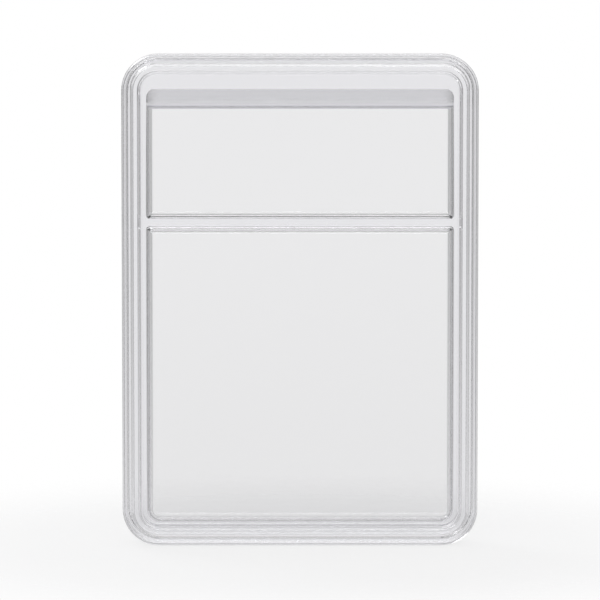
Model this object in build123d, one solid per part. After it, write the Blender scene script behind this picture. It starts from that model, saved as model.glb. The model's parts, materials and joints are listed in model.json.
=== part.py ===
# Clear two-piece display slab for one coin holder and its label, standing upright.
# Two moulded half shells close on each other: a tongue round the rear half enters a groove round the
# front half. Millimetres; X across, Y from front to back, Z up; the origin is under the middle.
from build123d import *
import os
from math import radians, tan

os.makedirs("parts", exist_ok=True)

# What the slab holds, which sizes everything round it
pocket_width = 53.2
coin_pocket_height = 51.4
label_pocket_height = 19.1
divider_wall = 1.45
pocket_corner = 2.0
front_pocket_depth = 3.35
rear_pocket_depth = 2.25

# Rim section, from the outer edge inwards
skirt_wall = 1.7
groove_width = 1.55
pocket_wall = 1.1

# Panels and the step that lets one slab nest in the next
window_panel = 1.4
flange_wall = 1.35
stack_step = 1.0
nest_gap = 0.1
nest_side_gap = 0.2

# Head of the label pocket, which slopes in to hold the label's top edge; degrees in the front half
head_slope = 45
head_land = 1.7

# Fits between the two halves
seat_gap = 0.04
tongue_fit = 0.05
tongue_end_gap = 0.15

# Moulding draft in degrees, and the edge radii
pocket_draft = 2
tongue_draft = 1
front_edge = 2.3
rear_edge = 1.0
plateau_edge = 0.35
nest_edge = 0.5
recess_edge = 0.3
pocket_edge = 1.0
divider_corner = 0.5
head_corner = 1.4
tongue_lead_in = 0.3

# The outside follows from the inside
rim_width = skirt_wall + groove_width + pocket_wall
plateau_inset = skirt_wall + groove_width
corner_radius = pocket_corner + rim_width
slab_width = pocket_width + 2 * rim_width
slab_thickness = (
    front_pocket_depth + rear_pocket_depth + 2 * window_panel + stack_step + nest_gap
)

# Heights above the bottom edge
coin_pocket_low = rim_width
coin_pocket_high = coin_pocket_low + coin_pocket_height
label_pocket_low = coin_pocket_high + divider_wall
label_ledge = label_pocket_low + label_pocket_height
head_mouth = label_ledge + front_pocket_depth * tan(radians(head_slope))
slab_height = head_mouth + head_land + rim_width

# Depths, from the front face at the lowest Y to the rear face at the highest
front_face = -slab_thickness / 2
front_flange = front_face + stack_step
parting = front_face + window_panel + front_pocket_depth
recess_floor = parting + rear_pocket_depth + window_panel
rear_face = slab_thickness / 2
groove_floor = front_flange + flange_wall
tongue_tip = groove_floor + tongue_end_gap


def depth_plane(depth):
    """Plane across the slab at a depth, seen from the front, centred at mid-height."""
    return Plane(origin=(0, depth, slab_height / 2), x_dir=(1, 0, 0), z_dir=(0, -1, 0))


def rim_outline(inset):
    """The slab's rounded outline moved inwards, with every corner concentric."""
    return RectangleRounded(
        slab_width - 2 * inset, slab_height - 2 * inset, corner_radius - inset
    )


def layer(inset, front, back):
    """Solid of the outline at an inset, between two depths."""
    return extrude(depth_plane(back) * rim_outline(inset), amount=back - front)


def rim_ring(outer_inset, inner_inset, root, tip, draft):
    """Ring that stands from its root depth forwards to its tip, thinner at the tip by the draft."""
    reach = root - tip
    outside = extrude(depth_plane(root) * rim_outline(outer_inset), amount=reach, taper=draft)
    inside = extrude(depth_plane(root) * rim_outline(inner_inset), amount=reach, taper=-draft)
    return outside - inside


def end_edges(solid, side):
    """Edges round the face that lies furthest towards a side: -1 is the front, 1 the rear."""
    faces = solid.faces().sort_by(Axis.Y)
    return faces[0 if side < 0 else -1].edges()


def hole_edges(solid):
    """Edges round the hole in the one face of a solid that has a hole."""
    ring = solid.faces().filter_by(lambda face: face.inner_wires())[0]
    return ring.inner_wires()[0].edges()


def pocket_sketch(low, high, low_corner, high_corner):
    """Mouth of a pocket at the parting plane, with its own radius at the lower and upper corners."""
    mouth = Pos(0, (low + high - slab_height) / 2) * Rectangle(pocket_width, high - low)
    mouth = fillet(mouth.vertices().group_by(Axis.Y)[0], low_corner)
    return fillet(mouth.vertices().group_by(Axis.Y)[-1], high_corner)


def coin_pocket(depth, side):
    """Space of the coin pocket in one half, drafted and rounded where it meets the window."""
    mouth = pocket_sketch(coin_pocket_low, coin_pocket_high, pocket_corner, divider_corner)
    space = extrude(
        depth_plane(parting) * mouth, amount=depth, dir=(0, side, 0), taper=pocket_draft
    )
    return fillet(end_edges(space, side), pocket_edge)


def label_pocket(depth, side):
    """Space of the label pocket in one half; its head slopes in from the mouth to the ledge."""
    mouth = pocket_sketch(label_pocket_low, head_mouth, divider_corner, head_corner)
    space = extrude(
        depth_plane(parting) * mouth, amount=depth, dir=(0, side, 0), taper=pocket_draft
    )
    floor = parting + side * depth
    slope = Polygon((parting, head_mouth), (floor, label_ledge), (floor, head_mouth), align=None)
    space -= extrude(Plane.YZ * slope, amount=pocket_width, both=True)
    round_the_window = end_edges(space, side).sort_by(Axis.Z)[:-1]
    return fillet(round_the_window, pocket_edge)


def front_shell():
    """Front half: raised window panel, flange, skirt, and the groove that takes the tongue."""
    mating_face = parting - seat_gap
    body = layer(0, front_flange, mating_face)
    body = fillet(end_edges(body, -1), front_edge)
    plateau = layer(plateau_inset, front_face, front_flange)
    shell = body + fillet(end_edges(plateau, -1), plateau_edge)
    shell = fillet(hole_edges(shell), nest_edge)
    shell -= coin_pocket(front_pocket_depth, -1)
    shell -= label_pocket(front_pocket_depth, -1)
    return shell - rim_ring(skirt_wall, plateau_inset, mating_face, groove_floor, tongue_draft)


def rear_shell():
    """Rear half: window panel set back so that the next slab nests, and the tongue."""
    body = layer(0, parting, rear_face)
    body = fillet(end_edges(body, 1), rear_edge)
    recess = layer(plateau_inset - nest_side_gap, recess_floor, rear_face)
    shell = body - fillet(end_edges(recess, -1), recess_edge)
    shell = fillet(hole_edges(shell), nest_edge)
    shell -= coin_pocket(rear_pocket_depth, 1)
    shell -= label_pocket(rear_pocket_depth, 1)
    tongue = rim_ring(
        skirt_wall + tongue_fit, plateau_inset - tongue_fit, parting, tongue_tip, tongue_draft
    )
    return shell + chamfer(end_edges(tongue, -1), tongue_lead_in)


export_step(front_shell(), "parts/front_shell.step")
export_step(rear_shell(), "parts/rear_shell.step")

print(f"slab {slab_width:.2f} x {slab_height:.2f} x {slab_thickness:.2f} mm, corner {corner_radius:.2f} mm")
print(f"depths: flange {front_flange:.2f}, parting {parting:.2f}, recess floor {recess_floor:.2f} mm")
print(f"heights: coin pocket {coin_pocket_low:.2f} to {coin_pocket_high:.2f} mm")
print(f"heights: label pocket {label_pocket_low:.2f} to {label_ledge:.2f} mm, mouth {head_mouth:.2f} mm")
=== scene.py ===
# %% [markdown]
# A clear coin display slab: two moulded shells of crystal polystyrene, pressed together
# face to face, with a square pocket for a coin holder and a low one above it for a label.
# This lesson dresses the exact CAD shells with clean, softly rounded edges and a finish
# that looks like moulded plastic, and then lights them so that clear parts can be read.
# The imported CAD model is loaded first. It is the frame that everything else is fitted to.

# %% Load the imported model
import bpy
import json
import math
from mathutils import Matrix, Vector

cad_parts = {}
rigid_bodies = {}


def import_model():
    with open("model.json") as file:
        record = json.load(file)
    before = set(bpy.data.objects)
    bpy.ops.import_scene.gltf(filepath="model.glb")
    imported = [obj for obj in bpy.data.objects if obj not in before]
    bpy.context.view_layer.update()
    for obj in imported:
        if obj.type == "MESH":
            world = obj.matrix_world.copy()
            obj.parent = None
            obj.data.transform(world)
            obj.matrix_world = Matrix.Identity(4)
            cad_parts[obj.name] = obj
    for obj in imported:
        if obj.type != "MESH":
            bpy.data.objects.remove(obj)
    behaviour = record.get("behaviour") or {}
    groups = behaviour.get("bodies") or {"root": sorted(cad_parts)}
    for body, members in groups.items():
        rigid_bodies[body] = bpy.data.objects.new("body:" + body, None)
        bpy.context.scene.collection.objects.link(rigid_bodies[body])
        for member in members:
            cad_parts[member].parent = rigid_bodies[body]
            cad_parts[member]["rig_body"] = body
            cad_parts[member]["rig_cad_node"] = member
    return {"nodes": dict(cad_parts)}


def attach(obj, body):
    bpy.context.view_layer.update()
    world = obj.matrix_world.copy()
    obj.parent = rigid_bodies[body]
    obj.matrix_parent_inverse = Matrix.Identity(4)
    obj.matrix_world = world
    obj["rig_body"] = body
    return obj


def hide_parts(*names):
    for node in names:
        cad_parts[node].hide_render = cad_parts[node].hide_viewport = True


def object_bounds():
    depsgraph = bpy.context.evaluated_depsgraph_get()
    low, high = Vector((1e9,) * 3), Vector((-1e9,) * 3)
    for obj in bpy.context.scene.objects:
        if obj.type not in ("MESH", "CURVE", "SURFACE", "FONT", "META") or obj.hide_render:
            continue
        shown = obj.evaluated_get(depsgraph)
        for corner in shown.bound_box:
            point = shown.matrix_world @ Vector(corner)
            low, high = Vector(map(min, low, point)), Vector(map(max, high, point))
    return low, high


MM = 0.001

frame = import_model()
cad_low, cad_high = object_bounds()
print("size in mm:", [round(side / MM, 2) for side in cad_high - cad_low])

# %% [markdown]
# Colours are written as sRGB hex, the way a paint chart gives them, but shaders work in
# linear light. One small function turns the one into the other, and one more adds a
# shader node with its settings and its links, so that each material reads like a recipe.
# A socket goes by its name, or by its number where a node has two of the same name.

# %% Helpers for colours and nodes
def linear(hex_colour):
    channels = [int(hex_colour[i:i + 2], 16) / 255 for i in (1, 3, 5)]
    return [c / 12.92 if c <= 0.04045 else ((c + 0.055) / 1.055) ** 2.4 for c in channels] + [1.0]


def add_node(tree, kind, settings=(), values=(), links=()):
    node = tree.nodes.new(kind)
    for name, value in dict(settings).items():
        setattr(node, name, value)
    for socket, value in dict(values).items():
        node.inputs[socket].default_value = value
    for socket, source in dict(links).items():
        tree.links.new(source, node.inputs[socket])
    return node


print("plain mid grey #808080 is", round(linear("#808080")[0], 3), "in linear light")

# %% [markdown]
# The CAD shells have the right shape, but their meshes are loose triangles, and every
# triangle would catch the light on its own. In clear plastic that shows twice over,
# because each facet also bends what is behind it. So each shell is copied, its triangles
# are welded into one skin, and flat areas are joined into whole faces again. The copy
# also drops the marks by which the frame knows its CAD nodes. The CAD object itself is
# left alone and only hidden, since the physics still uses it.

# %% Weld a copy of a shell
WELD = 0.002 * MM
FLAT = math.radians(0.5)


def make_active(thing):
    bpy.ops.object.select_all(action="DESELECT")
    thing.select_set(True)
    bpy.context.view_layer.objects.active = thing


def welded_copy(node, name):
    make_active(frame["nodes"][node])
    bpy.ops.object.duplicate()
    shell = bpy.context.object
    shell.name = shell.data.name = name
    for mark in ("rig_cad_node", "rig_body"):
        del shell[mark]
    bpy.ops.object.parent_clear(type="CLEAR_KEEP_TRANSFORM")
    bpy.ops.object.mode_set(mode="EDIT")
    bpy.ops.mesh.select_all(action="SELECT")
    bpy.ops.mesh.remove_doubles(threshold=WELD)
    bpy.ops.mesh.dissolve_limited(angle_limit=FLAT)
    bpy.ops.object.mode_set(mode="OBJECT")
    print(name, "has", len(shell.data.polygons), "faces after welding")
    return shell


front = welded_copy("front_shell", "front_shell_clear")
rear = welded_copy("rear_shell", "rear_shell_clear")

# %% [markdown]
# No moulded edge is perfectly sharp: the mould is polished, and that leaves a radius of
# a tenth or two of a millimetre. It is too small to see as a shape, but it is what draws
# the fine bright lines along the rims of clear plastic, and it opens the thin shadow line
# where the two shells meet. The big roundings are already in the CAD, so what is left is
# every edge that still turns by more than 35 degrees. Edit mode's Select Sharp Edges finds
# them. The head of the label pocket is left out, because its slope cuts the pocket's
# corners at a glancing angle, and a bevel has no room there. It is found by its place, as
# distances from the slab's middle and above its foot. An edge that is taken out of
# a selection in code leaves its ends selected, and they would bring it back, so the
# selection is cleared and set again from the list of edges to keep.

# %% Select the sharp edges
SHARP = math.radians(35)
HEAD_SIDE = 26.62 * MM
HEAD_LOW = 76.2 * MM
HEAD_HIGH = 79.7 * MM


def select_sharp_edges(shell):
    make_active(shell)
    bpy.ops.object.mode_set(mode="EDIT")
    bpy.context.tool_settings.mesh_select_mode = (False, True, False)
    bpy.ops.mesh.select_all(action="DESELECT")
    bpy.ops.mesh.edges_select_sharp(sharpness=SHARP)
    bpy.ops.object.mode_set(mode="OBJECT")
    points = shell.data.vertices
    edges = shell.data.edges
    kept = []
    for edge in edges:
        middle = (points[edge.vertices[0]].co + points[edge.vertices[1]].co) / 2
        at_head = abs(middle.x) < HEAD_SIDE and HEAD_LOW < middle.z < HEAD_HIGH
        if edge.select and not at_head:
            kept.append(edge.index)
    bpy.ops.object.mode_set(mode="EDIT")
    bpy.ops.mesh.select_all(action="DESELECT")
    bpy.ops.object.mode_set(mode="OBJECT")
    for index in kept:
        edges[index].select = True
    print(shell.name, "has", len(kept), "sharp edges to round")


# %% [markdown]
# The bevel itself is one edit-mode operator. Three segments with a round profile are
# enough for so small a radius. Its overlap clamp stays off, because that would thin every
# edge down to what the tightest spot allows, and loop slide stays off, so that the width
# is even.

# %% Round the edges
EDGE_RADIUS = 0.15 * MM
EDGE_SEGMENTS = 3
ROUND_PROFILE = 0.5

for shell in (front, rear):
    select_sharp_edges(shell)
    bpy.ops.object.mode_set(mode="EDIT")
    bpy.ops.mesh.bevel(offset=EDGE_RADIUS, segments=EDGE_SEGMENTS, profile=ROUND_PROFILE,
                       clamp_overlap=False, loop_slide=False)
    bpy.ops.object.mode_set(mode="OBJECT")
    print(shell.name, "has", len(shell.data.polygons), "faces with rounded edges")

# %% [markdown]
# Clear plastic shows every fault of its shading, because the normals also decide where
# the light goes on its way through. The surface is smoothed wherever it turns by less
# than 32 degrees, which takes in the bevels and the CAD's roundings. The label pocket's
# slope must stay a flat mirror, and it meets the rim at 34 degrees or more. At its two
# ends though it runs out into a rounding, and the smoothing would creep round them into
# the window. So its outline is marked sharp: it is the only large face that leans. Last,
# a Weighted Normal modifier at its full weight lets each big flat face keep its own
# normal, or the windows would bend what is behind them like a lens.

# %% Smooth the shading
CREASE = math.radians(32)
LARGE = 100 * MM ** 2
LEAN = (0.5, 0.9)
FULL_WEIGHT = 100

for shell in (front, rear):
    make_active(shell)
    bpy.ops.object.shade_smooth_by_angle(angle=CREASE)
    bpy.ops.object.mode_set(mode="EDIT")
    bpy.context.tool_settings.mesh_select_mode = (False, False, True)
    bpy.ops.mesh.select_all(action="DESELECT")
    bpy.ops.object.mode_set(mode="OBJECT")
    for face in shell.data.polygons:
        face.select = face.area > LARGE and LEAN[0] < abs(face.normal.y) < LEAN[1]
    bpy.ops.object.mode_set(mode="EDIT")
    bpy.ops.mesh.region_to_loop()
    bpy.ops.mesh.mark_sharp()
    bpy.ops.object.mode_set(mode="OBJECT")
    weighted = shell.modifiers.new("flat windows", "WEIGHTED_NORMAL")
    weighted.weight = FULL_WEIGHT
    weighted.keep_sharp = True
    bpy.ops.object.modifier_apply(modifier=weighted.name)
    slope_edges = sum(edge.select for edge in shell.data.edges)
    print(shell.name, "has", slope_edges, "edges round its slope")

# %% [markdown]
# Crystal polystyrene is the glass-clear plastic of coin cases, injection moulded between
# polished steel. It bends light more than glass does, with an index of 1.59, so each
# surface mirrors about 5 per cent of the light, and the four surfaces of a window make it
# a pale grey. Makers add a trace of violet toner to hide its natural yellow. It can't be
# seen through a thin window, but it tints the rims, where light runs the long way through
# the plastic. That is absorption inside it, so it goes in the volume and not in the
# surface colour. The melt leaves a slow waviness of a few micrometres as it sets, about
# 20 mm from crest to crest, and handling leaves a faint haze: those are bump and
# roughness. Both are so slight that they only show where a lamp is mirrored.

# %% Crystal polystyrene
STYRENE_IOR = 1.59
STYRENE_CLEAR = "#FDFDFD"
TONER = "#D2D0E4"
TONER_DENSITY = 22.0
WINDOW_THICKNESS = 1.4 * MM
WAVE_LENGTH = 20.0 * MM
WAVE_DEPTH = 0.003 * MM
HAZE_GRAIN = 4.0 * MM
HAZE_NOISE = (0.35, 0.75)
HAZE_ROUGHNESS = (0.005, 0.03)


def crystal_styrene(name):
    material = bpy.data.materials.new(name)
    material.use_nodes = True
    tree = material.node_tree
    tree.nodes.clear()
    place = add_node(tree, "ShaderNodeTexCoord").outputs["Object"]
    wave = add_node(tree, "ShaderNodeTexNoise",
                    values={"Scale": 1 / WAVE_LENGTH, "Detail": 0.0},
                    links={"Vector": place})
    bump = add_node(tree, "ShaderNodeBump",
                    values={"Strength": 1.0, "Distance": WAVE_DEPTH},
                    links={"Height": wave.outputs["Fac"]})
    haze = add_node(tree, "ShaderNodeTexNoise",
                    values={"Scale": 1 / HAZE_GRAIN, "Detail": 4.0, "Roughness": 0.6},
                    links={"Vector": place})
    rough = add_node(tree, "ShaderNodeMapRange",
                     values={"From Min": HAZE_NOISE[0], "From Max": HAZE_NOISE[1],
                             "To Min": HAZE_ROUGHNESS[0], "To Max": HAZE_ROUGHNESS[1]},
                     links={"Value": haze.outputs["Fac"]})
    shader = add_node(tree, "ShaderNodeBsdfPrincipled",
                      values={"Base Color": linear(STYRENE_CLEAR), "IOR": STYRENE_IOR,
                              "Transmission Weight": 1.0},
                      links={"Roughness": rough.outputs["Result"],
                             "Normal": bump.outputs["Normal"]})
    inside = add_node(tree, "ShaderNodeVolumeAbsorption",
                      values={"Color": linear(TONER), "Density": TONER_DENSITY})
    add_node(tree, "ShaderNodeOutputMaterial",
             links={"Surface": shader.outputs["BSDF"], "Volume": inside.outputs["Volume"]})
    return material


styrene = {"front_styrene": crystal_styrene("front_crystal_styrene"),
           "rear_styrene": crystal_styrene("rear_crystal_styrene")}
for path in (WINDOW_THICKNESS, cad_high.x - cad_low.x):
    left = [round(math.exp(-(1 - c) * TONER_DENSITY * path), 2) for c in linear(TONER)[:3]]
    print("toner lets through", left, "across", round(path / MM, 1), "mm")

# %% [markdown]
# Each dressed shell now takes the place of its CAD solid. It rides on the same body, so
# it lifts off with the same joint, and it is painted with the material that is kept
# under its slot's name.

# %% Put the shells on their bodies
for shell, node, body, slot in ((front, "front_shell", "front_half", "front_styrene"),
                                (rear, "rear_shell", "rear_half", "rear_styrene")):
    shell.data.materials.clear()
    shell.data.materials.append(styrene[slot])
    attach(shell, body)
    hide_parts(node)
    print(shell.name, "rides on", body)

# %% [markdown]
# A clear thing has no colour of its own to show: what draws it is what stands round it.
# So the surroundings are part of its finish. The slab stands on white paper, with more
# white paper far behind. The floor is a small disc that fades out before its edge, and
# it is there to carry the slab's soft shadow. To the camera it is almost white. Rays that
# come through the plastic are given most of the paper's light as well, because the
# shadow of a clear thing is full of light that the render finds only slowly. The table
# is a little darker than the paper behind, since it lies at a slant to the light.

# %% Floor that carries the shadow
FLOOR_RADIUS = 0.11
FLOOR_SIDES = 96
FLOOR_FADE = (0.04, 0.10)

bpy.ops.mesh.primitive_circle_add(vertices=FLOOR_SIDES, radius=FLOOR_RADIUS,
                                  fill_type="NGON", location=(0, 0, 0))
floor = bpy.context.object
floor.name = "floor"
paper = bpy.data.materials.new("white_paper")
paper.use_nodes = True
tree = paper.node_tree
tree.nodes.clear()
place = add_node(tree, "ShaderNodeTexCoord").outputs["Object"]
distance = add_node(tree, "ShaderNodeVectorMath", {"operation": "LENGTH"}, links={0: place})
fade = add_node(tree, "ShaderNodeMapRange", {"interpolation_type": "SMOOTHSTEP"},
                values={"From Min": FLOOR_FADE[0], "From Max": FLOOR_FADE[1]},
                links={"Value": distance.outputs["Value"]})
print("floor fades out between", FLOOR_FADE[0], "and", FLOOR_FADE[1], "m")

# %% [markdown]
# The Light Path node tells what kind of ray has arrived, so one floor can answer in three
# ways: lamps and shadow for all rays, plus a share of plain white for the camera, and
# a share of the table's grey for rays that passed through the plastic or mirrored off it.

# %% What each kind of ray sees of the floor
FLOOR_GREY = "#E8E8EA"
WHITE = "#FFFFFF"
CAMERA_SHARE = 0.8
PLASTIC_SHARE = 0.75
TABLE_LEVEL = 0.81

lit = add_node(tree, "ShaderNodeBsdfDiffuse", values={"Color": linear(FLOOR_GREY)})
white = add_node(tree, "ShaderNodeEmission", values={"Color": linear(WHITE)})
grey = add_node(tree, "ShaderNodeEmission",
                values={"Color": linear(WHITE), "Strength": TABLE_LEVEL})
sight = add_node(tree, "ShaderNodeLightPath")
by_camera = add_node(tree, "ShaderNodeMath", {"operation": "MULTIPLY"},
                     values={1: CAMERA_SHARE}, links={0: sight.outputs["Is Camera Ray"]})
through = add_node(tree, "ShaderNodeMath", {"operation": "MAXIMUM"},
                   links={0: sight.outputs["Is Transmission Ray"],
                          1: sight.outputs["Is Glossy Ray"]})
by_plastic = add_node(tree, "ShaderNodeMath", {"operation": "MULTIPLY"},
                      values={1: PLASTIC_SHARE}, links={0: through.outputs[0]})
seen = add_node(tree, "ShaderNodeMixShader",
                links={0: by_camera.outputs[0], 1: lit.outputs[0], 2: white.outputs[0]})
passed = add_node(tree, "ShaderNodeMixShader",
                  links={0: by_plastic.outputs[0], 1: seen.outputs[0], 2: grey.outputs[0]})
clear = add_node(tree, "ShaderNodeBsdfTransparent")
whole = add_node(tree, "ShaderNodeMixShader",
                 links={0: fade.outputs[0], 1: passed.outputs[0], 2: clear.outputs[0]})
add_node(tree, "ShaderNodeOutputMaterial", links={"Surface": whole.outputs[0]})
floor.data.materials.append(paper)
print("floor shows the camera", CAMERA_SHARE, "of plain white")

# %% [markdown]
# The world is the room round the paper. A photographer lights clear things against
# a bright field and keeps the room at the sides darker, because the rims bend sideways
# rays into view and so draw themselves as grey lines. Here the light depends on the
# direction alone. First comes what lies level with the slab: paper ahead and behind, and
# a darker room to the left and right. How far sideways a direction points is its X
# without the sign.

# %% World, the room to the sides
PAPER_LEVEL = 0.87
SIDE_LEVEL = 0.52
SIDE_RAMP = (0.05, 0.35)

world = bpy.data.worlds.new("studio")
bpy.context.scene.world = world
world.use_nodes = True
tree = world.node_tree
tree.nodes.clear()
way = add_node(tree, "ShaderNodeSeparateXYZ",
               links={0: add_node(tree, "ShaderNodeTexCoord").outputs["Generated"]})
across = add_node(tree, "ShaderNodeMath", {"operation": "ABSOLUTE"}, links={0: way.outputs["X"]})
sides = add_node(tree, "ShaderNodeMapRange", {"interpolation_type": "SMOOTHSTEP"},
                 values={"From Min": SIDE_RAMP[0], "From Max": SIDE_RAMP[1],
                         "To Min": PAPER_LEVEL, "To Max": SIDE_LEVEL},
                 links={"Value": across.outputs[0]})
print("paper", PAPER_LEVEL, "room at the sides", SIDE_LEVEL)

# %% [markdown]
# By the height of the direction, its Z, two more parts are mixed in: a ceiling, whose
# grey lies between paper and room, and the pale table top below all round. The table
# begins just under the horizon, so a window shades off a little towards its foot, as in
# the photograph. Only the camera sees plain white behind the slab. The greys are what the
# plastic gathers in.

# %% World, the ceiling and the table
TOP_LEVEL = 0.66
TOP_RAMP = (0.5, 0.9)
TABLE_RAMP = (-0.05, -0.20)

up = add_node(tree, "ShaderNodeMapRange", {"interpolation_type": "SMOOTHSTEP"},
              values={"From Min": TOP_RAMP[0], "From Max": TOP_RAMP[1]},
              links={"Value": way.outputs["Z"]})
down = add_node(tree, "ShaderNodeMapRange", {"interpolation_type": "SMOOTHSTEP"},
                values={"From Min": TABLE_RAMP[0], "From Max": TABLE_RAMP[1]},
                links={"Value": way.outputs["Z"]})
with_top = add_node(tree, "ShaderNodeMix", values={"B": TOP_LEVEL},
                    links={"Factor": up.outputs[0], "A": sides.outputs[0]})
level = add_node(tree, "ShaderNodeMix", values={"B": TABLE_LEVEL},
                 links={"Factor": down.outputs[0], "A": with_top.outputs[0]})
room = add_node(tree, "ShaderNodeBackground", values={"Color": linear(WHITE)},
                links={"Strength": level.outputs[0]})
backdrop = add_node(tree, "ShaderNodeBackground", values={"Color": linear(WHITE)})
sight = add_node(tree, "ShaderNodeLightPath")
seen = add_node(tree, "ShaderNodeMixShader",
                links={0: sight.outputs["Is Camera Ray"], 1: room.outputs[0],
                       2: backdrop.outputs[0]})
add_node(tree, "ShaderNodeOutputWorld", links={"Surface": seen.outputs[0]})
print("ceiling", TOP_LEVEL, "table", TABLE_LEVEL)

# %% [markdown]
# The camera looks straight at the front window from 5 degrees above, as the photograph
# does, through a long lens, so the side walls stay hidden and the rims look even. The
# lens follows from how much of the scene the picture takes in at the slab's distance.

# %% Camera
VIEW_HEIGHT = 104.5 * MM
DISTANCE = 700 * MM
ELEVATION = math.radians(5)


def aim(thing, point):
    thing.rotation_euler = (point - thing.location).to_track_quat("-Z", "Y").to_euler()


target = (cad_low + cad_high) / 2
bpy.ops.object.camera_add()
camera = bpy.context.object
camera.location = target + DISTANCE * Vector((0, -math.cos(ELEVATION), math.sin(ELEVATION)))
aim(camera, target)
camera.data.lens = camera.data.sensor_width * DISTANCE / VIEW_HEIGHT
bpy.context.scene.camera = camera
bpy.context.scene.view_settings.view_transform = "Standard"
print("lens", round(camera.data.lens), "mm")

# %% [markdown]
# A wide softbox hangs just above the lens. A polished edge mirrors a lamp where its
# surface faces halfway between the lamp and the eye, and the front's outer rounding, with
# its 2.3 mm radius, leans that little only close to its inner end. So the softbox draws
# a white line inside the dark outline, along the top and round both upper corners, as in
# the photograph. The flat windows throw its light down past the lens and stay clear. The
# second softbox, high behind on the left, does the same for the rear edges when the slab
# is turned. Both are large and mild, because a small bright lamp shows as grain in
# clear plastic. The watts are worked out from the brightness that a lamp's face should
# have, so that its size can change without its glare.

# %% Two softboxes
SOFTBOX_GLARE = 3.5
OUTER_ROUNDING = 2.3 * MM
LIT_POINT = Vector((0, 0, 0.05))
SOFTBOXES = (("softbox_over_the_lens", (0, -0.77, 0.28), 0.6, 0.2),
             ("softbox_behind", (-0.4, 0.5, 0.55), 0.35, 0.35))

for name, place, width, height in SOFTBOXES:
    bpy.ops.object.light_add(type="AREA", location=place)
    softbox = bpy.context.object
    softbox.name = name
    softbox.data.shape = "RECTANGLE"
    softbox.data.size = width
    softbox.data.size_y = height
    softbox.data.energy = SOFTBOX_GLARE * math.pi * width * height
    aim(softbox, LIT_POINT)
    print(name, round(softbox.data.energy, 2), "W")

top_edge = Vector((0, cad_low.y, cad_high.z))
halfway = ((Vector(SOFTBOXES[0][1]) - top_edge).normalized()
           + (camera.location - top_edge).normalized()).normalized()
mirrored = OUTER_ROUNDING * (1 - halfway.z)
print("mirrored in the top edge", round(mirrored / MM, 2), "mm from the outline")
